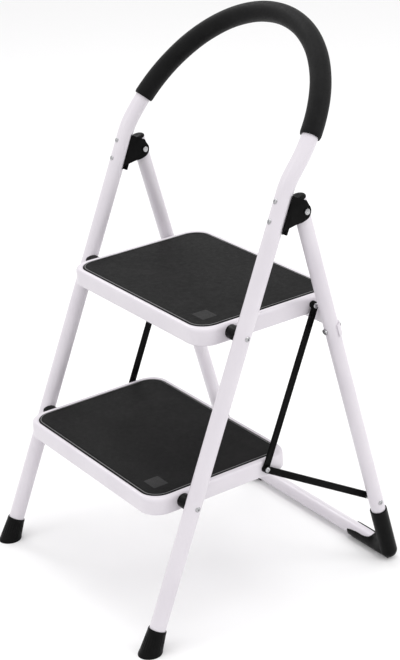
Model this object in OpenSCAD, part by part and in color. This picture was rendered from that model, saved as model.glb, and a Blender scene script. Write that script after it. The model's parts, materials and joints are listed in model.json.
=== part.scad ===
// Folding two-step stool: arched tube frame, rear U frame, two trays joined by links.
// Millimetres, +Z up, +Y towards the back, floor at Z = 0.

/* [Front frame] */
// Outside diameter of the front tube
front_d = 25; // [24.9:0.1:25.1]
// Wall thickness of both tubes
wall = 1.2; // [1.1:0.1:1.4]
// Radius of the arched handrail, to the middle of the tube
arch_r = 214; // [213.8:0.1:214]
// Outside diameter of the foam grip
grip_d = 32; // [30:0.5:33]
// Height of the front foot sleeves along the leg
foot_h = 39; // [36:1:42]

/* [Rear frame] */
// Outside diameter of the rear tube
rear_d = 23.6; // [23.4:0.1:23.7]
// Height of the rear crossbar axis above the floor
bar_z = 15; // [15:0.1:15.5]
// Height of the top rim of the corner shoes
shoe_h = 96; // [90:1:98]

/* [Steps] */
// Half width of the upper tray
upper_w = 187; // [186.8:0.1:187]
// Half width of the lower tray
lower_w = 191; // [190.8:0.1:191]
// Thickness of the sheet the trays are pressed from
sheet = 1.2; // [1:0.1:1.4]
// Thickness of the rubber mats
mat_t = 2.5; // [2:0.1:3]
// Slope of the treads, rear edge high, degrees
slope = 2; // [1.9:0.1:2.1]

/* [Links] */
// Width of the link bars
link_w = 11.2; // [10:0.1:11.4]
// Thickness of the link bars
link_t = 3; // [2.6:0.1:3]
// Distance from a step pivot to its link rivet
crank = 150; // [149.8:0.1:150.2]

/* [Hidden] */
$fn = 96;
ys = -22.2;              // moves the whole object so that its box is centred on Y
lean = 22;               // front legs, from the vertical
rlean = 0.27323;         // rear legs, mm of Y for each mm of Z
fr = front_d / 2;
rr_ = rear_d / 2;
pin_r = 3;
thin = 0.05;              // how much a bend's wall thins on each side
run_r = pin_r + 0.05;    // running bore
up_t = [0, sin(lean), cos(lean)];     // along the front leg
bk_t = [0, cos(lean), -sin(lean)];    // behind the front leg
kink_z = 674;
rise_a = 37.7;           // lean of the arch plane
dd = [0, sin(rise_a), cos(rise_a)];
function fp(z) = [219 - z * 5 / 674, -206.3 + tan(lean) * z, z];
function rp(z) = [218.3 - 0.0049 * z, 260.4 - rlean * z, z];
kink = [arch_r, fp(kink_z)[1], kink_z];
bend = kink + 26 * dd;
arch_c = [0, bend[1], bend[2]];
hinge = [0, rp(629.5)[1], 629.5];
foot_pt = fp(0);
hinge_t = (hinge - [0, foot_pt[1], 0]) * up_t;    // place of the hinge along the leg
hinge_w = (hinge - [0, foot_pt[1], 0]) * bk_t;    // and behind it
upper_z = 459.3;
lower_z = 216.4;
upper_p = [0, fp(upper_z)[1], upper_z];
lower_p = [0, fp(lower_z)[1], lower_z];
link_g = [0, rp(113)[1], 113];
crank_v = crank * [0, cos(slope), sin(slope)];
link_d = upper_p + crank_v;
link_e = lower_p + crank_v;
link_x1 = 192.3;         // inner face of the long links
link_x2 = 195.7;         // inner face of the short links
rl = sqrt(1 + rlean * rlean);
us = [0, -rlean, 1] / rl;             // up the rear frame
un = [0, 1, rlean] / rl;              // behind the rear frame
bar_c = [rp(bar_z)[0], rp(bar_z)[1], bar_z];
strap_s = 419.5;

function arcp(cx, cy, r, a0, a1, n) = [for (i = [0:n]) let (a = a0 + (a1 - a0) * i / n) [cx + r * cos(a), cy + r * sin(a)]];
function rrect(w, y0, y1, r) = concat(
  arcp(w - r, y1 - r, r, 0, 90, 9), arcp(-w + r, y1 - r, r, 90, 180, 9),
  arcp(-w + r, y0 + r, r, 180, 270, 9), arcp(w - r, y0 + r, r, 270, 360, 9));

module both() { children(); mirror([1, 0, 0]) children(); }
module rod(p, q, r) {
  v = q - p; L = norm(v);
  translate(p) rotate([0, acos(v[2] / L), atan2(v[1], v[0])]) cylinder(h = L, r = r);
}
module place(o, x, y, z) multmatrix([[x[0], y[0], z[0], o[0]], [x[1], y[1], z[1], o[1]], [x[2], y[2], z[2], o[2]], [0, 0, 0, 1]]) children();
// straight tube from p to q; ep and eq say how far it runs on into the bend at each end
module tube(p, q, ro, ri, ep = 0, eq = 0) {
  u = (q - p) / norm(q - p);
  difference() { rod(p - ep * u, q + eq * u, ro); rod(p - (ep + 1) * u, q + (eq + 1) * u, ri); }
}
// bend of a tube at corner c, drawn out a hair thinner than the straight tube, from direction a to direction b
module elbow(c, a, b, R, ro, ri) {
  ph = acos(a * b); n = (b - cos(ph) * a) / sin(ph); T = R * tan(ph / 2);
  place(c - T * a + R * n, -n, a, cross(-n, a)) rotate_extrude(angle = ph) translate([R, 0])
    difference() { circle(r = ro - thin); if (ri > 0) circle(r = ri + thin); }
}
// bar along X between x0 and x1 through the YZ point p
module xrod(p, x0, x1, r) translate([x0, p[1], p[2]]) rotate([0, 90, 0]) cylinder(h = x1 - x0, r = r);
// frame fixed to the front leg: X across, Y behind, Z along, zero at the hinge height on the leg axis
module legframe() place([0, foot_pt[1], 0] + hinge_t * up_t, [1, 0, 0], bk_t, up_t) children();
// frame fixed to the rear frame: X across, Y behind, Z up along the frame
module rearframe() place([0, bar_c[1], bar_z], [1, 0, 0], un, us) children();
// frame of a tread at its pivot
module treadframe(p) translate(p) rotate([slope, 0, 0]) children();

// ---------- front frame ----------
leg_a = (kink - fp(10)) / norm(kink - fp(10));
kink_R = 110;
kink_T = kink_R * tan(acos(leg_a * dd) / 2);
module front_leg(ro, ri) {
  tube(fp(10), kink - kink_T * leg_a, ro, ri, 0, 1);
  elbow(kink, leg_a, dd, kink_R, ro, ri);
  tube(kink + kink_T * dd, bend, ro, ri, 1, 1);
}
module front_frame() color([0.93, 0.92, 0.94]) translate([0, ys, 0]) difference() {
  union() {
    both() front_leg(fr, fr - wall);
    place(arch_c, [1, 0, 0], dd, cross([1, 0, 0], dd)) rotate_extrude(angle = 180) translate([arch_r, 0])
      difference() { circle(r = fr - thin); circle(r = fr - wall + thin); }
  }
  both() for (p = [upper_p, lower_p]) {
    xrod(p, 190, 240, run_r);
    xrod(p, fp(p[2])[0] + fr - 0.6, 240, 4.6);
  }
  both() legframe() for (t = bracket_ts) translate([brk_x, 0, t]) {
    rotate([-90, 0, 0]) translate([0, 0, -30]) cylinder(h = 60, r = 2.55);
    rotate([90, 0, 0]) translate([0, 0, fr - 0.5]) cylinder(h = 10, r = 4.3);
  }
}
module foam_grip() color([0.05, 0.05, 0.05]) translate([0, ys, 0])
  place(arch_c, [1, 0, 0], dd, cross([1, 0, 0], dd)) rotate([0, 0, 12.7]) rotate_extrude(angle = 160.8) translate([arch_r, 0])
    difference() { circle(r = grip_d / 2); circle(r = fr + 0.05); }
module front_foot(s) color([0.08, 0.08, 0.08]) mirror([s, 0, 0]) translate([0, ys, 0]) difference() {
  translate(fp(0)) rotate([0, acos(leg_a[2]), atan2(leg_a[1], leg_a[0])]) translate([0, 0, -12]) cylinder(h = foot_h + 12, r1 = 18.6, r2 = 14);
  rod(fp(10), fp(60), fr + 0.05);
  translate([120, -400, -60]) cube([200, 400, 60]);
}

// ---------- hinge brackets ----------
brk_x = fp(643)[0];
bracket_ts = [2.6, -27.3];
cheek_pts = concat([[17.5, 4.3], [-40, 5.7], [-40, 6.5], [-34, 8], [-22, 25.6], [-17, 35.6]],
  arcp(-2, 32.6, 13.3, 140, 24, 12), [[15.7, 31], [15.9, 17.4], [16.4, 9.6]]);
module hinge_bracket(s) color([0.05, 0.05, 0.05]) mirror([s, 0, 0]) translate([0, ys, 0]) difference() {
  legframe() union() {
    for (x = [201.3, 227.3]) translate([x, 0, 0]) place([0, 0, 0], [0, 0, 1], [0, 1, 0], [1, 0, 0])
      linear_extrude(height = 1.8) polygon(cheek_pts);
    translate([201.3, 11, -40]) cube([27.8, 3.8, 55.5]);
  }
  rod(fp(560), fp(720), fr + 0.05);
  xrod(hinge, 190, 240, run_r);
  legframe() for (t = bracket_ts) translate([brk_x, 0, t]) rotate([-90, 0, 0]) cylinder(h = 30, r = 2.55);
}
module bracket_rivets() color([0.8, 0.8, 0.8]) translate([0, ys, 0]) both() legframe() for (t = bracket_ts) translate([brk_x, 0, t]) {
  rotate([90, 0, 0]) translate([0, 0, fr - 0.5]) cylinder(h = 0.8, r = 4.2);
  rotate([90, 0, 0]) translate([0, 0, fr + 0.3]) cylinder(h = 1, r1 = 4.2, r2 = 2.4);
  rotate([-90, 0, 0]) translate([0, 0, -fr + 0.5]) cylinder(h = fr + 14.3, r = 2.5);
  rotate([-90, 0, 0]) translate([0, 0, 14.8]) cylinder(h = 0.5, r = 3.8);
}
module hinge_pin(s) color([0.8, 0.8, 0.8]) mirror([s, 0, 0]) translate([0, ys, 0]) {
  xrod(hinge, 201.3, 229.1, pin_r);
  difference() { xrod(hinge, 229.1, 231.2, 4.6); translate([230.6, hinge[1] - 6, hinge[2] - 0.6]) cube([2, 12, 1.2]); }
  xrod(hinge, 199.5, 201.3, 4.6);
}

// ---------- step pivots ----------
module step_rivets(p, w) color([0.8, 0.8, 0.8]) translate([0, ys, 0]) both() {
  x = fp(p[2])[0] + fr - 0.6;
  xrod(p, w - sheet - 0.3, x, pin_r);
  xrod(p, x, x + 0.9, 4.3);
  translate([x + 0.9, p[1], p[2]]) rotate([0, 90, 0]) cylinder(h = 1.4, r1 = 4.3, r2 = 2.6);
  xrod(p, w - sheet - 2.3, w - sheet - 0.3, 5);
}
module spacer(p, w, s) color([0.06, 0.06, 0.06]) mirror([s, 0, 0]) translate([0, ys, 0]) difference() {
  xrod(p, w + 0.3, fp(p[2])[0] - 4, 11);
  rod(fp(p[2] - 60), fp(p[2] + 60), fr + 0.05);
  xrod(p, w - 5, 240, run_r);
}

// ---------- rear frame ----------
rtop = rp(629.5) + 19 * (rp(629.5) - rp(0)) / norm(rp(629.5) - rp(0));
ra = (rp(0) - rp(600)) / norm(rp(0) - rp(600));
bar_R = 31;
bar_T = bar_R * tan(acos(ra * [-1, 0, 0]) / 2);
module rear_half(ro, ri) {
  tube(rtop, bar_c - bar_T * ra, ro, ri, 0, 1);
  elbow(bar_c, ra, [-1, 0, 0], bar_R, ro, ri);
}
module rear_frame() color([0.92, 0.91, 0.93]) translate([0, ys, 0]) difference() {
  union() {
    both() rear_half(rr_, rr_ - wall);
    tube([bar_c[0] - bar_T, bar_c[1], bar_z], [-bar_c[0] + bar_T, bar_c[1], bar_z], rr_, rr_ - wall, 1, 1);
  }
  both() {
    xrod(hinge, 190, 240, run_r);
    xrod(link_g, 215, 240, 3.05);
    xrod(link_g, rp(113)[0] + rr_ - 0.6, 240, 4.6);
    rearframe() translate([rp(431.5)[0], 0, 431.8]) {
      rotate([90, 0, 0]) translate([0, 0, -30]) cylinder(h = 60, r = 2.55);
      rotate([90, 0, 0]) translate([0, 0, rr_ - 0.5]) cylinder(h = 10, r = 5);
    }
  }
}
module rear_tube_plug(s) color([0.08, 0.08, 0.08]) mirror([s, 0, 0]) translate([0, ys, 0])
  translate(rtop) rotate([0, acos(-ra[2]), atan2(-ra[1], -ra[0])]) {
    translate([0, 0, -9]) cylinder(h = 9, r = rr_ - wall - 0.05);
    cylinder(h = 1.6, r = rr_);
    translate([0, 0, 1.6]) cylinder(h = 2.6, r1 = rr_ - 0.6, r2 = 8.5);
  }
shoe_cut = [[90, 3.1], [128.5, 5.2], [135.5, 7], [150, 8.05], [163, 8.3], [170, 8.75], [175, 9.55], [179, 10.7], [182, 12.3], [183.6, 14.6], [184.4, 19], [184.7, 99], [90, 99]];
module corner_shoe(s) color([0.06, 0.06, 0.06]) mirror([s, 0, 0]) translate([0, ys, 0]) difference() {
  union() {
    rod(rp(shoe_h), bar_c, 13.9);
    xrod(bar_c, 127, 218.6, 13.6);
    translate(bar_c) sphere(r = 13.95);
    translate([127.5, bar_c[1] - 5, 0]) cube([94, 10, bar_z - 1]);
  }
  rod(bar_c - (bar_T - 1) * ra, rp(160), rr_ + 0.05);
  elbow(bar_c, ra, [-1, 0, 0], bar_R, rr_ + 0.16, 0);
  xrod(bar_c, 90, bar_c[0] - bar_T + 1, rr_ + 0.05);
  rearframe() translate([0, 30, 0]) rotate([90, 0, 0]) linear_extrude(height = 60) polygon(shoe_cut);
}
module rear_support_strap() color([0.92, 0.91, 0.93]) translate([0, ys, 0]) difference() {
  union() {
    rearframe() translate([-210, 11.95, strap_s]) cube([420, 1.4, 29]);
    both() difference() {
      rod(rp(15 + strap_s / rl), rp(15 + (strap_s + 20) / rl), 14);
      rearframe() translate([180, -30, 380]) cube([80, 32, 100]);
    }
  }
  both() rod(rp(380), rp(480), rr_ + 0.1);
  both() rearframe() translate([rp(431.5)[0], 0, 431.8]) rotate([90, 0, 0]) translate([0, 0, -30]) cylinder(h = 60, r = 2.55);
}
module strap_bolts() color([0.8, 0.8, 0.8]) translate([0, ys, 0]) both() rearframe() translate([rp(431.5)[0], 0, 431.8]) {
  rotate([-90, 0, 0]) translate([0, 0, -rr_ - 3.5]) cylinder(h = 2 * rr_ + 6, r = 2.5);
  rotate([-90, 0, 0]) translate([0, 0, 14]) cylinder(h = 1.6, r1 = 5, r2 = 4.4);
}
module strap_nuts() color([0.8, 0.8, 0.8]) translate([0, ys, 0]) both() rearframe() translate([rp(431.5)[0], 0, 431.8]) rotate([90, 0, 0]) difference() {
  translate([0, 0, rr_ - 0.5]) cylinder(h = 3.6, r = 4.8, $fn = 6);
  translate([0, 0, 5]) cylinder(h = 14, r = 2.52, $fn = 48);
}
module rear_link_rivets() color([0.8, 0.8, 0.8]) translate([0, ys, 0]) both() {
  x = rp(113)[0] + rr_ - 0.6;
  xrod(link_g, x - 4, x, 3);
  xrod(link_g, x, x + 0.9, 4.3);
  translate([x + 0.9, link_g[1], link_g[2]]) rotate([0, 90, 0]) cylinder(h = 1.3, r1 = 4.3, r2 = 2.6);
}

// ---------- trays and mats ----------
module tray(p, w, m) color([0.92, 0.91, 0.93]) translate([0, ys, 0]) treadframe(p) difference() {
  translate([0, 0, -14]) linear_extrude(height = 27.2) polygon(rrect(w, -55.3, 201, 32));
  translate([0, 0, 11]) linear_extrude(height = 10) polygon(rrect(m + 0.3, -47.6, 193.3, 30.3));
  translate([0, 0, -14 + sheet]) linear_extrude(height = 23.8 - sheet) polygon(rrect(w - sheet, -55.3 + sheet, 201 - sheet, 32 - sheet));
  translate([0, 0, -20]) linear_extrude(height = 12) polygon(rrect(w - 7, -48.3, 194, 25));
  difference() {
    translate([0, 0, 5]) linear_extrude(height = 7) polygon(rrect(w - sheet, -55.3 + sheet, 201 - sheet, 32 - sheet));
    translate([0, 0, 4]) linear_extrude(height = 9) polygon(rrect(m + 0.3 + sheet, -47.6 - sheet, 193.3 + sheet, 30.3 + sheet));
  }
  xrod([0, 0, 0], -240, 240, run_r);
  xrod([0, crank, 0], -240, 240, 3);
}
module mat(p, m) color([0.2, 0.2, 0.2]) translate([0, ys, 0]) treadframe(p)
  translate([0, 0, 11]) linear_extrude(height = mat_t) polygon(rrect(m, -47.3, 193, 30));

// ---------- links ----------
module link_rivets(p, w, x1) color([0.8, 0.8, 0.8]) translate([0, ys, 0]) both() {
  xrod(p, w - sheet - 1.6, w - sheet, 5);
  xrod(p, w - sheet, x1, pin_r);
  xrod(p, x1, x1 + 0.7, 4.3);
  translate([x1 + 0.7, p[1], p[2]]) rotate([0, 90, 0]) cylinder(h = 1.1, r1 = 4.3, r2 = 2.6);
}
module link_washers(p, w, x1) color([0.1, 0.1, 0.1]) translate([0, ys, 0]) both() difference() {
  xrod(p, w, x1, 6);
  xrod(p, w - 1, x1 + 1, pin_r);
}
module bar2d(p, q, w) {
  v = q - p; L = norm(v); a = atan2(v[1], v[0]);
  polygon(concat([for (s = arcp(0, 0, w / 2, 90, 270, 16)) p + [s[0] * cos(a) - s[1] * sin(a), s[0] * sin(a) + s[1] * cos(a)]],
    [for (s = arcp(L, 0, w / 2, -90, 90, 16)) p + [s[0] * cos(a) - s[1] * sin(a), s[0] * sin(a) + s[1] * cos(a)]]));
}
module link_bar(p, q, x0, s) mirror([s, 0, 0]) translate([0, ys, 0]) difference() {
  place([x0, 0, 0], [0, 1, 0], [0, 0, 1], [1, 0, 0]) linear_extrude(height = link_t) bar2d([p[1], p[2]], [q[1], q[2]], link_w);
  for (h = [p, q]) xrod(h, x0 - 2, x0 + link_t + 2, run_r);
}
module long_link(s) color([0.08, 0.08, 0.08]) link_bar(link_d, link_e, link_x1, s);
module short_link(s) color([0.08, 0.08, 0.08]) link_bar(link_e, link_g, link_x2, s);
module short_link_pin(s) color([0.8, 0.8, 0.8]) mirror([s, 0, 0]) translate([0, ys, 0]) {
  xrod(link_g, 194.3, 195.7, 5);
  xrod(link_g, 195.7, 198.7, run_r);
  xrod(link_g, 198.7, rp(113)[0] - rr_ - 0.3, 5.4);
}

front_frame();
foam_grip();
front_foot(1);  // front_foot_left
front_foot(0);  // front_foot_right
hinge_bracket(1);  // hinge_bracket_left
hinge_bracket(0);  // hinge_bracket_right
bracket_rivets();
hinge_pin(1);  // hinge_pin_left
hinge_pin(0);  // hinge_pin_right
step_rivets(upper_p, upper_w);  // upper_step_rivets
step_rivets(lower_p, lower_w);  // lower_step_rivets
spacer(upper_p, upper_w, 1);  // upper_spacer_left
spacer(upper_p, upper_w, 0);  // upper_spacer_right
spacer(lower_p, lower_w, 1);  // lower_spacer_left
spacer(lower_p, lower_w, 0);  // lower_spacer_right
rear_frame();
rear_tube_plug(1);  // rear_tube_plug_left
rear_tube_plug(0);  // rear_tube_plug_right
corner_shoe(1);  // corner_shoe_left
corner_shoe(0);  // corner_shoe_right
rear_support_strap();
strap_bolts();
strap_nuts();
rear_link_rivets();
tray(upper_p, upper_w, 176.6);  // upper_tray
mat(upper_p, 176.6);  // upper_mat
link_rivets(link_d, upper_w, 195.6);  // upper_link_rivets
link_washers(link_d, upper_w, 192);  // upper_link_washers
tray(lower_p, lower_w, 181);  // lower_tray
mat(lower_p, 181);  // lower_mat
link_rivets(link_e, lower_w, 199);  // lower_link_rivets
link_washers(link_e, lower_w, 192);  // lower_link_washers
long_link(1);  // long_link_left
long_link(0);  // long_link_right
short_link(1);  // short_link_left
short_link(0);  // short_link_right
short_link_pin(1);  // short_link_pin_left
short_link_pin(0);  // short_link_pin_right
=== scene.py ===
import json
import math
import bpy
import bmesh
import numpy as np
from mathutils import Matrix


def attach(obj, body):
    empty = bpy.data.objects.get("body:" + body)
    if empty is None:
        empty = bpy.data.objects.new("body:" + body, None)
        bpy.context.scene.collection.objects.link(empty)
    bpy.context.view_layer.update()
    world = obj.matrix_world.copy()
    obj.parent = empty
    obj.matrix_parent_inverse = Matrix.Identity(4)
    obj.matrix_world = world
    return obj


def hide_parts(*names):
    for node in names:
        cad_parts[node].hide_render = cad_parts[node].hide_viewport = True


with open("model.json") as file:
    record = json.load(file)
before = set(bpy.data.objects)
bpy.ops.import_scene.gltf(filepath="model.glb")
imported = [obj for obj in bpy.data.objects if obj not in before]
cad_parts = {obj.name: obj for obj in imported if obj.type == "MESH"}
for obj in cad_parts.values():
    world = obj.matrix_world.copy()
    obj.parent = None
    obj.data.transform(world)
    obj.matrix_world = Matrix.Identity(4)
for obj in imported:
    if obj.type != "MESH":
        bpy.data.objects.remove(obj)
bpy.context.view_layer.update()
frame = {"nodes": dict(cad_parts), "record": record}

REC = frame["record"]
NODE = frame["nodes"]
MOUNT = {m["name"]: m["pos_m"] for m in REC["mounts"]}
JOINT = {j["name"]: [v * 1000 for v in j["pos_m"]] for j in REC["behaviour"]["joints"]}
FOOT = [v * 1000 for v in MOUNT["front_foot_right_floor"]]
A = np.array([0, JOINT["rear_fold"][1], JOINT["rear_fold"][2]])
B = np.array([0, JOINT["upper_step_fold"][1], JOINT["upper_step_fold"][2]])
F = np.array([0, JOINT["lower_step_fold"][1], JOINT["lower_step_fold"][2]])
E = np.array([0, JOINT["long_link_turn_right"][1], JOINT["long_link_turn_right"][2]])
D = B + (E - F)
SLOPE = math.atan2(D[2] - B[2], D[1] - B[1])
LEAN = math.radians(22)


def unit(v):
    v = np.array(v, float)
    return v / np.linalg.norm(v)


def fp(z):      # axis of the right front leg, mm
    return np.array([FOOT[0] - z * 5 / 674, FOOT[1] + math.tan(LEAN) * z, z])


def rp(z):      # axis of the right rear leg, mm
    return np.array([218.3 - 0.0049 * z, A[1] + 0.27323 * (A[2] - z), z])


UP = unit(fp(100) - fp(0))
BK = np.array([0, math.cos(LEAN), -math.sin(LEAN)])
DD = np.array([0, math.sin(math.radians(37.7)), math.cos(math.radians(37.7))])
KINK = fp(674); KINK[0] = 214
BEND = KINK + 26 * DD
ARC_C = np.array([0, BEND[1], BEND[2]])
RU = unit(rp(100) - rp(0))                       # up the rear leg
RN = unit([0, 1, 0.27323])                       # behind the rear frame
RS = unit([0, -0.27323, 1])
BARC = rp(15)
G = rp(113)

# ---------------------------------------------------------------- materials


def material(name, build):
    m = bpy.data.materials.new(name)
    m.use_nodes = True
    nt = m.node_tree
    p = nt.nodes["Principled BSDF"]
    tc = nt.nodes.new("ShaderNodeTexCoord")
    build(nt, p, tc.outputs["Object"])
    return m


def tex(nt, kind, co, scale, **kw):
    n = nt.nodes.new("ShaderNodeTex" + kind)
    nt.links.new(co, n.inputs["Vector"])
    n.inputs["Scale"].default_value = scale
    for k, v in kw.items():
        if k in n.inputs:
            n.inputs[k].default_value = v
        else:
            setattr(n, k, v)
    return n


def ramp(nt, fac, lo, hi, c0, c1):
    r = nt.nodes.new("ShaderNodeValToRGB")
    r.color_ramp.elements[0].position = lo
    r.color_ramp.elements[1].position = hi
    r.color_ramp.elements[0].color = (*c0, 1)
    r.color_ramp.elements[1].color = (*c1, 1)
    nt.links.new(fac, r.inputs["Fac"])
    return r.outputs["Color"]


def span(nt, val, a, b, lo=0.3, hi=0.7):
    r = nt.nodes.new("ShaderNodeMapRange")
    r.inputs["From Min"].default_value = lo
    r.inputs["From Max"].default_value = hi
    r.inputs["To Min"].default_value = a
    r.inputs["To Max"].default_value = b
    nt.links.new(val, r.inputs["Value"])
    return r.outputs["Result"]


def bump(nt, height, strength, dist, normal=None):
    b = nt.nodes.new("ShaderNodeBump")
    b.inputs["Strength"].default_value = strength
    b.inputs["Distance"].default_value = dist
    nt.links.new(height, b.inputs["Height"])
    if normal is not None:
        nt.links.new(normal, b.inputs["Normal"])
    return b.outputs["Normal"]


def powder(nt, p, co):
    big = tex(nt, "Noise", co, 14, Detail=3.0)
    nt.links.new(ramp(nt, big.outputs["Fac"], 0.3, 0.7, (0.625, 0.591, 0.634), (0.666, 0.634, 0.673)), p.inputs["Base Color"])
    mid = tex(nt, "Noise", co, 220, Detail=2.0)
    nt.links.new(span(nt, mid.outputs["Fac"], 0.30, 0.42), p.inputs["Roughness"])
    peel = tex(nt, "Noise", co, 620, Detail=1.5)
    fine = tex(nt, "Voronoi", co, 1900)
    n = bump(nt, peel.outputs["Fac"], 0.16, 0.00022)
    nt.links.new(bump(nt, fine.outputs["Distance"], 0.05, 0.0001, n), p.inputs["Normal"])
    p.inputs["Coat Weight"].default_value = 0.25
    p.inputs["Coat Roughness"].default_value = 0.16


def foam(nt, p, co):
    a = tex(nt, "Noise", co, 60, Detail=4.0)
    nt.links.new(ramp(nt, a.outputs["Fac"], 0.3, 0.7, (0.0016, 0.0016, 0.0018), (0.0036, 0.0036, 0.0038)), p.inputs["Base Color"])
    cell = tex(nt, "Voronoi", co, 1500)
    big = tex(nt, "Noise", co, 300, Detail=3.0)
    n = bump(nt, cell.outputs["Distance"], 0.35, 0.00025)
    nt.links.new(bump(nt, big.outputs["Fac"], 0.20, 0.0004, n), p.inputs["Normal"])
    nt.links.new(span(nt, big.outputs["Fac"], 0.50, 0.64), p.inputs["Roughness"])
    p.inputs["Specular IOR Level"].default_value = 0.13
    p.inputs["Sheen Weight"].default_value = 0.02
    p.inputs["Sheen Roughness"].default_value = 0.5


def mat_rubber(lo, hi):
    def build(nt, p, co):
        cloud = tex(nt, "Noise", co, 16, Detail=5.0)
        nt.links.new(ramp(nt, cloud.outputs["Fac"], 0.3, 0.7, (lo, lo, lo * 1.01), (hi, hi * 0.995, hi)), p.inputs["Base Color"])
        grain = tex(nt, "Voronoi", co, 560, feature="DISTANCE_TO_EDGE")
        pore = tex(nt, "Noise", co, 1500, Detail=2.0)
        crease = tex(nt, "Noise", co, 130, Detail=4.0)
        edge = span(nt, grain.outputs["Distance"], 0, 1, 0.0, 0.22)
        n = bump(nt, edge, 0.38, 0.00020)
        n = bump(nt, crease.outputs["Fac"], 0.12, 0.0004, n)
        nt.links.new(bump(nt, pore.outputs["Fac"], 0.15, 0.00015, n), p.inputs["Normal"])
        nt.links.new(span(nt, crease.outputs["Fac"], 0.48, 0.58), p.inputs["Roughness"])
        p.inputs["Specular IOR Level"].default_value = 0.045
    return build


def plastic(lo, hi, r0, r1, s, spec):
    def build(nt, p, co):
        a = tex(nt, "Noise", co, 90, Detail=3.0)
        nt.links.new(ramp(nt, a.outputs["Fac"], 0.3, 0.7, (lo, lo, lo), (hi, hi, hi)), p.inputs["Base Color"])
        g = tex(nt, "Noise", co, 1300, Detail=2.0)
        v = tex(nt, "Voronoi", co, 900)
        n = bump(nt, g.outputs["Fac"], s, 0.0002)
        nt.links.new(bump(nt, v.outputs["Distance"], s * 0.5, 0.0001, n), p.inputs["Normal"])
        nt.links.new(span(nt, a.outputs["Fac"], r0, r1), p.inputs["Roughness"])
        p.inputs["Specular IOR Level"].default_value = spec
    return build


def steel(nt, p, co):
    a = tex(nt, "Noise", co, 400, Detail=4.0)
    nt.links.new(ramp(nt, a.outputs["Fac"], 0.3, 0.7, (0.34, 0.34, 0.35), (0.50, 0.50, 0.51)), p.inputs["Base Color"])
    p.inputs["Metallic"].default_value = 1.0
    nt.links.new(span(nt, a.outputs["Fac"], 0.18, 0.34), p.inputs["Roughness"])
    s = tex(nt, "Noise", co, 1800, Detail=3.0)
    nt.links.new(bump(nt, s.outputs["Fac"], 0.15, 0.00008), p.inputs["Normal"])


M_WHITE = material("white_powder_coat", powder)
M_FOAM = material("closed_cell_foam", foam)
M_MAT = material("grained_rubber", mat_rubber(0.0075, 0.0115))
M_PATCH = material("ribbed_rubber_patch", mat_rubber(0.031, 0.040))
# painted highlight: the bead is the same black rubber as the mat, and its light grey base colour stands in for the
# shine on its raised lip
M_BEAD_PAINTED_HIGHLIGHT = material("bead_painted_highlight", mat_rubber(0.17, 0.22))
M_PLASTIC = material("moulded_black_plastic", plastic(0.0020, 0.0042, 0.32, 0.44, 0.20, 0.08))
M_BLACK = material("black_enamel_steel", plastic(0.0014, 0.0034, 0.30, 0.42, 0.12, 0.05))
M_STEEL = material("plated_steel", steel)
SLOTM = {"white_powder_coat": M_WHITE, "black_foam": M_FOAM, "black_mat_rubber": M_MAT, "black_plastic": M_PLASTIC,
         "black_steel": M_BLACK, "bright_rivet": M_STEEL}
BODY = {n: b for b, ns in REC["behaviour"]["bodies"].items() for n in ns}
SLOT = {s["node"]: s["material_slot"] for s in REC["subparts"]}

# ---------------------------------------------------------------- mesh helpers


def finish_piece(ob, node, extra=(), mats=None, sharp=34):
    me = ob.data
    bm = bmesh.new()
    bm.from_mesh(me)
    bmesh.ops.remove_doubles(bm, verts=bm.verts, dist=2e-7)
    bmesh.ops.recalc_face_normals(bm, faces=bm.faces)
    bm.to_mesh(me)
    bm.free()
    for p in me.polygons:
        p.use_smooth = True
    me.set_sharp_from_angle(angle=math.radians(sharp))
    if not len(me.materials):
        for m in (mats or [SLOTM[SLOT[node]]]):
            me.materials.append(m)
    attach(ob, BODY[node])
    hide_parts(node, *extra)
    return ob


def make(name, parts, node, extra=(), mats=None, sharp=34):
    """parts: list of (verts in mm, faces[, material index])"""
    vs, fs, mi = [], [], []
    for part in parts:
        v, f = part[0], part[1]
        k = part[2] if len(part) > 2 else 0
        base = len(vs)
        vs += [(float(a) / 1000, float(b) / 1000, float(c) / 1000) for a, b, c in v]
        fs += [tuple(i + base for i in q) for q in f]
        mi += [k] * len(f)
    me = bpy.data.meshes.new(name)
    me.from_pydata(vs, [], fs)
    for p, k in zip(me.polygons, mi):
        p.material_index = k
    ob = bpy.data.objects.new(name, me)
    bpy.context.scene.collection.objects.link(ob)
    return finish_piece(ob, node, extra, mats, sharp)


def mirror(part):
    v, f = part[0], part[1]
    return ([(-p[0], p[1], p[2]) for p in v], [tuple(reversed(q)) for q in f], *part[2:])


def stitch(rings, close_ends=False, loop=False):
    """rings: list of N equal point loops joined in order"""
    n = len(rings[0])
    v = [p for r in rings for p in r]
    f = []
    m = len(rings)
    for i in range(m if loop else m - 1):
        a, b = i * n, ((i + 1) % m) * n
        for j in range(n):
            k = (j + 1) % n
            f.append((a + j, a + k, b + k, b + j))
    if close_ends:
        f.append(tuple(range(n - 1, -1, -1)))
        f.append(tuple(range((m - 1) * n, m * n)))
    return v, f


def frames(path):
    """parallel-transported frames along a path"""
    P = np.array(path, float)
    T = np.gradient(P, axis=0)
    T[0] = P[1] - P[0]
    T[-1] = P[-1] - P[-2]
    T /= np.linalg.norm(T, axis=1)[:, None]
    e = np.cross(T[0], [0, 1, 0.3]); e = unit(e)
    out = []
    for i, t in enumerate(T):
        e = unit(e - (e @ t) * t)
        out.append((e, np.cross(t, e)))
    return P, T, out


def sweep_rings(path, rad, n=64, fn=None):
    P, T, fr = frames(path)
    rad = np.broadcast_to(np.asarray(rad, float), (len(P),))
    th = np.linspace(0, 2 * math.pi, n, endpoint=False)
    rings = []
    for i in range(len(P)):
        r = rad[i] if fn is None else rad[i] + fn(i, th)
        r = np.broadcast_to(np.asarray(r, float), (n,))
        rings.append([P[i] + r[k] * (math.cos(a) * fr[i][0] + math.sin(a) * fr[i][1]) for k, a in enumerate(th)])
    return rings


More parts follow.
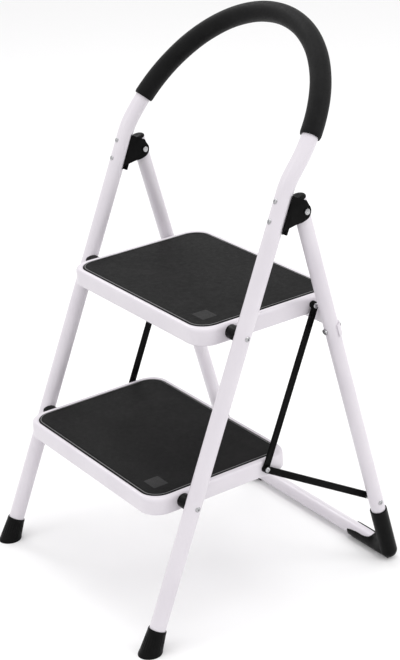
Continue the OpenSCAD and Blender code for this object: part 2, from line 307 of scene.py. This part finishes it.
def tube(path, ro, ri, n=64, fn=None):
    """hollow tube with softened rims"""
    path = np.array(path, float)
    t0, t1 = unit(path[1] - path[0]), unit(path[-1] - path[-2])
    soft = 0.3
    p_out = np.vstack([path[0], path[0] + soft * t0, path[1:-1], path[-1] - soft * t1, path[-1]])
    ro_ = np.broadcast_to(np.asarray(ro, float), (len(path),))
    r_out = np.concatenate([[ro_[0] - soft], [ro_[0]], ro_[1:-1], [ro_[-1]], [ro_[-1] - soft]])
    outer = sweep_rings(p_out, r_out, n, fn)
    inner = sweep_rings(path, ri, n)
    return stitch(outer + inner[::-1], loop=True)


def lathe(profile, o, ax, n=40, side=None):
    """profile: (radius, distance along ax); first and last radius may be 0"""
    ax = unit(ax)
    s = side if side is not None else ([0, 0, 1] if abs(ax[2]) < 0.9 else [0, 1, 0])
    e = unit(np.cross(ax, s)); g = np.cross(ax, e)
    th = np.linspace(0, 2 * math.pi, n, endpoint=False)
    v, f, rings = [], [], []
    for r, t in profile:
        if r < 1e-6:
            rings.append([len(v)]); v.append(np.array(o) + t * ax)
        else:
            rings.append(list(range(len(v), len(v) + n)))
            v += [np.array(o) + t * ax + r * (math.cos(a) * e + math.sin(a) * g) for a in th]
    for a, b in zip(rings, rings[1:]):
        for j in range(n):
            k = (j + 1) % n
            if len(a) == 1 and len(b) == 1:
                continue
            if len(a) == 1:
                f.append((a[0], b[k], b[j]))
            elif len(b) == 1:
                f.append((a[j], a[k], b[0]))
            else:
                f.append((a[j], a[k], b[k], b[j]))
    return v, f


def rrect(w, y0, y1, r, n=14):
    pts = []
    for cx, cy, a0 in ((w - r, y1 - r, 0), (-w + r, y1 - r, 90), (-w + r, y0 + r, 180), (w - r, y0 + r, 270)):
        for i in range(n + 1):
            a = math.radians(a0 + 90 * i / n)
            pts.append((cx + r * math.cos(a), cy + r * math.sin(a)))
    return pts


def tread(p, pt):
    """tread-frame point to world"""
    x, y, z = pt
    c, s = math.cos(SLOPE), math.sin(SLOPE)
    return (x, p[1] + c * y - s * z, p[2] + s * y + c * z)


def refine(node, name, width=0.35, seg=2, voxel=None, smooth=4, sharp=40, add=()):
    """a detailed piece from the CAD shape: softened edges, or remeshed and relaxed for a moulded one"""
    ob = bpy.data.objects.new(name, NODE[node].data.copy())
    ob.data.materials.clear()
    bpy.context.scene.collection.objects.link(ob)
    bm = bmesh.new()
    bm.from_mesh(ob.data)
    bmesh.ops.remove_doubles(bm, verts=bm.verts, dist=2e-6)
    bmesh.ops.dissolve_limit(bm, angle_limit=math.radians(0.6), verts=bm.verts, edges=bm.edges)
    for av, af in add:
        nv = [bm.verts.new((a / 1000, b / 1000, c / 1000)) for a, b, c in av]
        for q in af:
            bm.faces.new([nv[i] for i in q])
    if voxel:
        bmesh.ops.triangulate(bm, faces=bm.faces)
    bm.to_mesh(ob.data)
    bm.free()
    if voxel:
        m = ob.modifiers.new("r", "REMESH"); m.mode = "VOXEL"; m.voxel_size = voxel / 1000; m.adaptivity = 0
        m = ob.modifiers.new("s", "SMOOTH"); m.factor = 0.5; m.iterations = smooth
    else:
        m = ob.modifiers.new("b", "BEVEL"); m.width = width / 1000; m.segments = seg; m.limit_method = "ANGLE"
        m.angle_limit = math.radians(38); m.use_clamp_overlap = True; m.harden_normals = False
    dg = bpy.context.evaluated_depsgraph_get()
    me = bpy.data.meshes.new_from_object(ob.evaluated_get(dg))
    ob.modifiers.clear()
    ob.data = me
    return finish_piece(ob, node, sharp=sharp)


def straight(p, q, n):
    return [p + (q - p) * i / n for i in range(n)]


def arc_bend(c, a, b, R, n):
    a, b = unit(a), unit(b)
    ph = math.acos(float(a @ b)); m = (b - math.cos(ph) * a) / math.sin(ph); T = R * math.tan(ph / 2)
    o = c - T * a + R * m
    return [o + R * (-math.cos(ph * i / n) * m + math.sin(ph * i / n) * a) for i in range(n + 1)], T


# ---------------------------------------------------------------- front frame and grip
bendp, T = arc_bend(KINK, unit(KINK - fp(10)), DD, 110, 12)
leg = straight(fp(10), KINK - T * unit(KINK - fp(10)), 24) + bendp
leg += straight(KINK + T * DD, BEND, 3)[1:]
hoop = [ARC_C + 214 * (math.cos(a) * np.array([1, 0, 0]) + math.sin(a) * DD) for a in np.linspace(0, math.pi, 129)]
path = leg + hoop + [np.array([-p[0], p[1], p[2]]) for p in leg[::-1]]
make("front_tube_frame", [tube(path, 12.5, 11.3, 72)], "front_frame")

ga = np.linspace(math.radians(12.7), math.radians(173.5), 150)
gp = [ARC_C + 214 * (math.cos(a) * np.array([1, 0, 0]) + math.sin(a) * DD) for a in ga]
s = (ga - ga[0]) * 214
s2 = s[-1] - s
ease = np.minimum(s, s2)
gr = 16.0 - 0.9 * np.clip(1 - ease / 2.2, 0, 1) ** 2 + 0.05 * np.sin(s / 23) + 0.04 * np.sin(s / 9.7 + 1)
make("foam_hand_grip", [tube(gp, gr, 12.62, 72, lambda i, th: 0.05 * np.sin(3 * th + i * 0.13) + 0.03 * np.sin(5 * th - i * 0.31))], "foam_grip")

# ---------------------------------------------------------------- front feet


def foot():
    e1 = unit(np.cross(UP, [0, 1, 0])); e2 = np.cross(UP, e1)
    n = 144
    th = np.linspace(0, 2 * math.pi, n, endpoint=False)
    o = fp(0)

    def radius(t):
        return 14 + (39 - t) * 4.6 / 51
    rings = []
    # inside, rim, wall, sole
    for t, r in ((12.0, 12.62), (37.6, 12.62), (38.6, 12.9), (39.0, 13.3), (38.9, 13.75), (38.3, 14.05)):
        rings.append([o + t * UP + r * (math.cos(a) * e1 + math.sin(a) * e2) for a in th])
    us = list(np.linspace(0.03, 1.0, 26))
    for u in us:
        ring = []
        for a in th:
            d = math.cos(a) * e1 + math.sin(a) * e2
            # t where the flaring wall meets the floor
            k = 4.6 / 51
            tf = -(o[2] + d[2] * (14 + 39 * k)) / (UP[2] - d[2] * k)
            t = 39 + (tf - 39) * u
            flute = max(0.0, math.sin(math.pi * min(max((u - 0.16) / 0.64, 0), 1))) ** 0.5
            groove = (0.5 + 0.5 * math.cos(24 * a)) ** 3
            r = radius(t) - 0.55 * flute * groove
            if u > 0.86:
                r += 0.45 * math.sin(math.pi * min((u - 0.86) / 0.14, 1) * 0.5) * (1 if u < 0.985 else 0.2)
            if u < 0.12:
                r += 0.18
            p = o + t * UP + r * d
            if u >= 1.0:
                p[2] = 0.0
            ring.append(p)
        rings.append(ring)
    last = rings[-1]
    c = np.mean(last, axis=0)
    for sc, z in ((0.93, 0.0), (0.80, 0.0), (0.77, 0.9), (0.52, 0.9), (0.49, 0.0), (0.30, 0.0), (0.27, 0.9), (0.05, 0.9)):
        rings.append([np.array([c[0] + (p[0] - c[0]) * sc, c[1] + (p[1] - c[1]) * sc, z]) for p in last])
    return stitch(rings, close_ends=True)


ft = foot()
make("front_foot_sleeve_right", [ft], "front_foot_right")
make("front_foot_sleeve_left", [mirror(ft)], "front_foot_left")

# ---------------------------------------------------------------- rear frame
ra = -RU
bar, Tb = arc_bend(BARC, ra, [-1, 0, 0], 31, 18)
rtop = A + np.array([rp(A[2])[0], 0, 0]) + 19 * RU
half = straight(rtop, BARC - Tb * ra, 26) + bar
path = half + straight(half[-1], np.array([-half[-1][0], half[-1][1], half[-1][2]]), 14)[1:]
path += [np.array([-p[0], p[1], p[2]]) for p in half[::-1]]
make("rear_tube_frame", [tube(path, 11.8, 10.6, 72)], "rear_frame")

plug = lathe([(0, -9), (9.6, -9), (10.4, -8.2), (10.4, -0.02), (11.75, -0.02), (11.8, 0.3), (11.8, 1.5), (11.5, 2.0), (10.8, 2.9), (9.4, 3.7), (7.2, 4.15), (4, 4.2), (2.2, 4.2), (1.9, 3.9), (0, 3.9)], rtop, RU, 64)
make("rear_tube_end_plug_right", [plug], "rear_tube_plug_right")
make("rear_tube_end_plug_left", [mirror(plug)], "rear_tube_plug_left")

for sd in ("right", "left"):
    # the moulding also covers the inside of the tube bend
    web = tube(bar, 13.62, 12.3, 48)
    refine("corner_shoe_" + sd, "moulded_corner_shoe_" + sd, voxel=0.8, smooth=5, sharp=70, add=[web if sd == "right" else mirror(web)])
    refine("hinge_bracket_" + sd, "hinge_saddle_bracket_" + sd, width=0.45, seg=3)
    refine("hinge_pin_" + sd, "slotted_hinge_pin_" + sd, width=0.25, seg=2)
    refine("long_link_" + sd, "long_link_bar_" + sd, width=0.45, seg=3)
    refine("short_link_" + sd, "short_link_bar_" + sd, width=0.45, seg=3)
    refine("upper_spacer_" + sd, "upper_pivot_spacer_" + sd, width=0.7, seg=3)
    refine("lower_spacer_" + sd, "lower_pivot_spacer_" + sd, width=0.7, seg=3)
refine("rear_support_strap", "rear_support_strap_bar", width=0.4, seg=3)
refine("strap_nuts", "strap_hex_nuts", width=0.3, seg=2)
refine("upper_link_washers", "upper_link_flat_washers", width=0.2, seg=2)
refine("lower_link_washers", "lower_link_flat_washers", width=0.15, seg=2)

# ---------------------------------------------------------------- rivets


def head(r, x, h, dimple=1.5):
    """domed outer head from its seat at x to x + h, with the pressed dimple of a semi-tubular rivet"""
    return [(r, x), (r, x + 0.16 * h), (r - 0.14, x + 0.32 * h), (r - 0.55, x + 0.58 * h), (r - 1.2, x + 0.82 * h), (dimple + 0.9, x + 0.96 * h), (dimple + 0.35, x + h),
            (dimple, x + 0.97 * h), (dimple - 0.25, x + 0.7 * h), (dimple - 0.45, x + 0.42 * h), (dimple * 0.5, x + 0.36 * h), (0, x + 0.34 * h)]


def rivet(p, x_in, x_shank, x_seat, x_out, r_in, r_out, r_sh=3.0):
    prof = [(0, x_in + 0.3), (1.3, x_in + 0.25), (1.6, x_in), (r_in - 0.5, x_in), (r_in, x_in + 0.35), (r_in, x_shank), (r_sh, x_shank), (r_sh, x_seat)] + head(r_out, x_seat, x_out - x_seat)
    v, f = lathe(prof, [0, p[1], p[2]], [1, 0, 0], 40)
    return v, f


def pair(name, node, part):
    make(name, [part, mirror(part)], node)


for nm, node, p, w in (("upper_step_pivot_rivets", "upper_step_rivets", B, 187), ("lower_step_pivot_rivets", "lower_step_rivets", F, 191)):
    x = fp(p[2])[0] + 12.5 - 0.6
    pair(nm, node, rivet(p, w - 3.5, w - 1.5, x, x + 2.3, 5, 4.3))
pair("upper_link_joint_rivets", "upper_link_rivets", rivet(D, 184.2, 185.8, 195.6, 197.4, 5, 4.3))
pair("lower_link_joint_rivets", "lower_link_rivets", rivet(E, 188.2, 189.8, 199.0, 200.8, 5, 4.3))
xg = G[0] + 11.8 - 0.6
v, f = lathe([(0, xg - 4), (3, xg - 4), (3, xg)] + head(4.3, xg, 2.2), [0, G[1], G[2]], [1, 0, 0], 40)
pair("rear_leg_link_rivets", "rear_link_rivets", (v, f))
xi = G[0] - 11.8 - 0.3
v, f = lathe([(0, 194.5), (1.3, 194.45), (1.6, 194.3), (4.5, 194.3), (5, 194.65), (5, 195.7), (3.05, 195.7), (3.05, 198.7), (5.0, 198.7), (5.4, 199.1), (5.4, xi - 0.4), (5.0, xi), (0, xi)], [0, G[1], G[2]], [1, 0, 0], 40)
make("short_link_end_pin_right", [(v, f)], "short_link_pin_right")
make("short_link_end_pin_left", [mirror((v, f))], "short_link_pin_left")

hw = float((A - np.array([0, FOOT[1], 0])) @ BK)
ht = float((A - np.array([0, FOOT[1], 0])) @ np.array([0, math.sin(LEAN), math.cos(LEAN)]))
parts = []
for t in (2.6, -27.3):
    o = np.array([fp(643)[0], FOOT[1], 0]) + (ht + t) * np.array([0, math.sin(LEAN), math.cos(LEAN)])
    prof = [(0, 15.3), (3.4, 15.3), (3.8, 15.0), (3.8, 14.8), (2.5, 14.8), (2.5, -12.0)]
    prof += [(r, -q) for r, q in head(4.2, 12.0, 2.1)]
    part = lathe(prof, o, BK, 40)
    parts += [part, mirror(part)]
make("bracket_fixing_rivets", parts, "bracket_rivets")

o = np.array([rp(431.5)[0], BARC[1], 15]) + 431.8 * RS
prof = [(0, -15.3), (2.2, -15.3), (2.5, -15.0), (2.5, 14.0), (5.0, 14.0), (5.0, 14.3), (4.8, 14.9), (4.3, 15.4), (3.4, 15.6), (2.4, 15.6), (2.1, 15.3), (2.0, 14.7), (0, 14.6)]
part = lathe(prof, o, RN, 40)
pair("strap_round_bolts", "strap_bolts", part)

# ---------------------------------------------------------------- trays and mats


def tray(name, node, p, w):
    prof = [  # inset from the outline, height in the tread frame
        (10.25, 11.0), (10.1, 11.15), (10.05, 12.0), (9.95, 12.5), (9.6, 12.9), (9.0, 13.1), (8.0, 13.2), (6.2, 13.2), (4.6, 13.12),
        (3.3, 12.75), (2.2, 12.05), (1.3, 11.05), (0.65, 9.8), (0.2, 8.3), (0.0, 6.6), (0.0, 0.0), (0.0, -11.4), (0.12, -12.6), (0.5, -13.4), (1.1, -13.85), (1.9, -14.0),
        (4.5, -14.0), (6.6, -14.0), (6.95, -13.8), (7.0, -13.4), (6.95, -13.0), (6.6, -12.8), (3.0, -12.8), (1.9, -12.7), (1.35, -12.2), (1.2, -11.4), (1.2, 0.0), (1.2, 6.6),
        (1.45, 8.2), (2.1, 9.9), (3.2, 11.1), (4.6, 11.85), (6.2, 12.0), (8.2, 12.0), (8.8, 11.8), (9.0, 11.2), (9.1, 10.4), (9.5, 9.95), (10.4, 9.8)]
    rings = []
    for d, z in prof:
        rings.append([tread(p, (x, y, z)) for x, y in rrect(w - d, -55.3 + d * 0.8, 201 - d * 0.8, 32 - 0.17 * d)])
    v, f = stitch(rings, close_ends=True)
    # shallow pressed ribs in the panel, seen from below
    ribs = []
    for k in (-90, 0, 90):
        pr = [(0.0, 9.8), (0.0, 9.75), (0.5, 9.1), (1.6, 8.6), (3.2, 8.4), (6.0, 8.4)]
        rr = []
        for d, z in pr:
            rr.append([tread(p, (k + x, y, z)) for x, y in rrect(8 - d, -5 + d, 150 - d, max(7.9 - d, 1.6), 8)])
        ribs.append(stitch(rr, close_ends=True))
    make(name, [(v, f)] + ribs, node, sharp=40)


def step_mat(name, node, p, m, x0, y0):
    prof = [(0.5, 11.02), (0.12, 11.1), (0.0, 11.4), (0.0, 12.5), (0.15, 12.95), (0.55, 13.25), (1.1, 13.35), (2.1, 13.35), (2.5, 13.38), (2.75, 13.5),
            (3.05, 13.78), (3.45, 13.88), (3.85, 13.78), (4.15, 13.5), (4.4, 13.2), (4.9, 13.05), (5.6, 13.1), (6.4, 13.3), (7.4, 13.42), (9.0, 13.46)]
    rings = [[tread(p, (x, y, z)) for x, y in rrect(m - d, -47.3 + d, 193 - d, max(30 - d, 6))] for d, z in prof]
    v, f = stitch(rings, close_ends=True)
    # raised bead round the mat edge; the bead shape is real, its lighter material is a painted highlight
    loop = [(3.45 + 0.62 * math.cos(t * math.pi / 6), 13.62 + 0.42 * math.sin(t * math.pi / 6)) for t in range(12)]
    bead = [[tread(p, (x, y, z)) for x, y in rrect(m - d, -47.3 + d, 193 - d, 30 - d)] for d, z in loop]
    bv, bf = stitch(bead + [bead[0]])
    # generic grip patch: a shallow raised plate with ribs
    patch = []
    pr = [(0.0, 13.3), (0.0, 13.52), (0.3, 13.62), (1.2, 13.64)]
    patch.append((*stitch([[tread(p, (x0 + x, y0 + y, z)) for x, y in rrect(15 - d, -12.6 + d, 12.6 - d, max(1.6 - d, 0.3), 4)] for d, z in pr], close_ends=True), 1))
    for k in range(-4, 5):
        pr = [(0.0, 13.5), (0.0, 13.72), (0.35, 13.86), (0.62, 13.88)]
        patch.append((*stitch([[tread(p, (x0 + x, y0 + k * 2.4 + y, z)) for x, y in rrect(13.4 - d, -0.7 + d, 0.7 - d, max(0.6 - d, 0.04), 3)] for d, z in pr], close_ends=True), 1))
    make(name, [(v, f), (bv, bf, 2)] + patch, node, mats=[M_MAT, M_PATCH, M_BEAD_PAINTED_HIGHLIGHT], sharp=50)


tray("upper_pressed_tray", "upper_tray", B, 187)
tray("lower_pressed_tray", "lower_tray", F, 191)
step_mat("upper_tread_mat", "upper_mat", B, 176.6, 136, -11)
step_mat("lower_tread_mat", "lower_mat", F, 181, 139.5, -13.5)

# any CAD node still showing gets its material too
for node, ob in NODE.items():
    if not ob.hide_render:
        ob.data.materials.clear()
        ob.data.materials.append(SLOTM[SLOT[node]])

# ---------------------------------------------------------------- stage, lights, camera
me = bpy.data.meshes.new("floor")
R_ = 14.0
me.from_pydata([(-R_, -R_, -0.0002), (R_, -R_, -0.0002), (R_, R_, -0.0002), (-R_, R_, -0.0002)], [], [(0, 1, 2, 3)])
floor = bpy.data.objects.new("floor", me)
bpy.context.scene.collection.objects.link(floor)
fm = bpy.data.materials.new("pale_floor")
fm.use_nodes = True
fb = fm.node_tree.nodes["Principled BSDF"]
fb.inputs["Base Color"].default_value = (0.82, 0.82, 0.82, 1)
fb.inputs["Roughness"].default_value = 0.8
fb.inputs["Specular IOR Level"].default_value = 0.1
fb.inputs["Emission Color"].default_value = (1, 1, 1, 1)
fb.inputs["Emission Strength"].default_value = 0.08
me.materials.append(fm)

sc = bpy.context.scene
w = bpy.data.worlds.new("studio")
w.use_nodes = True
w.node_tree.nodes["Background"].inputs["Color"].default_value = (1.0, 0.995, 1.0, 1)
w.node_tree.nodes["Background"].inputs["Strength"].default_value = 1.0
sc.world = w
sc.view_settings.view_transform = "Standard"
sc.view_settings.look = "None"


def area(name, loc, target, size, power, col=(1, 1, 1)):
    l = bpy.data.lights.new(name, "AREA")
    l.energy = power
    l.size = size
    l.color = col
    o = bpy.data.objects.new(name, l)
    o.location = loc
    d = unit(np.array(target) - np.array(loc))
    z = -d; x = unit(np.cross([0, 0, 1], z)); y = np.cross(z, x)
    o.rotation_euler = Matrix(np.array([x, y, z]).T.tolist()).to_euler()
    bpy.context.scene.collection.objects.link(o)


area("key_softbox", (-0.6, -3.2, 3.0), (0, 0, 0.4), 1.8, 16)
area("left_softbox", (-2.6, 0.3, 2.8), (0, 0, 0.7), 0.9, 16)
area("top_softbox", (0.2, 0.3, 3.6), (0, 0, 0.3), 1.6, 24)
area("rim_softbox", (2.3, 1.9, 2.6), (0, 0, 0.5), 1.6, 26)

yaw, pitch, roll, fpx = 0.985273975, 0.385695727, -0.0378579213, 1654.3
fwd = np.array([-math.sin(yaw) * math.cos(pitch), math.cos(yaw) * math.cos(pitch), -math.sin(pitch)])
right = np.array([math.cos(yaw), math.sin(yaw), 0])
up = np.cross(right, fwd)
r2 = right * math.cos(roll) + up * math.sin(roll)
u2 = -right * math.sin(roll) + up * math.cos(roll)
cam = bpy.data.cameras.new("camera")
cam.sensor_fit = "AUTO"
cam.sensor_width = 36
cam.lens = fpx / 660 * 36
cam.clip_end = 60
co = bpy.data.objects.new("camera", cam)
YS = FOOT[1] + 206.3
Mx = np.eye(4)
Mx[:3, 0], Mx[:3, 1], Mx[:3, 2] = r2, u2, -fwd
Mx[:3, 3] = [2.02161187, (-1291.52018 + YS) / 1000, 1.36908814]
co.matrix_world = Matrix(Mx.tolist())
sc.collection.objects.link(co)
sc.camera = co
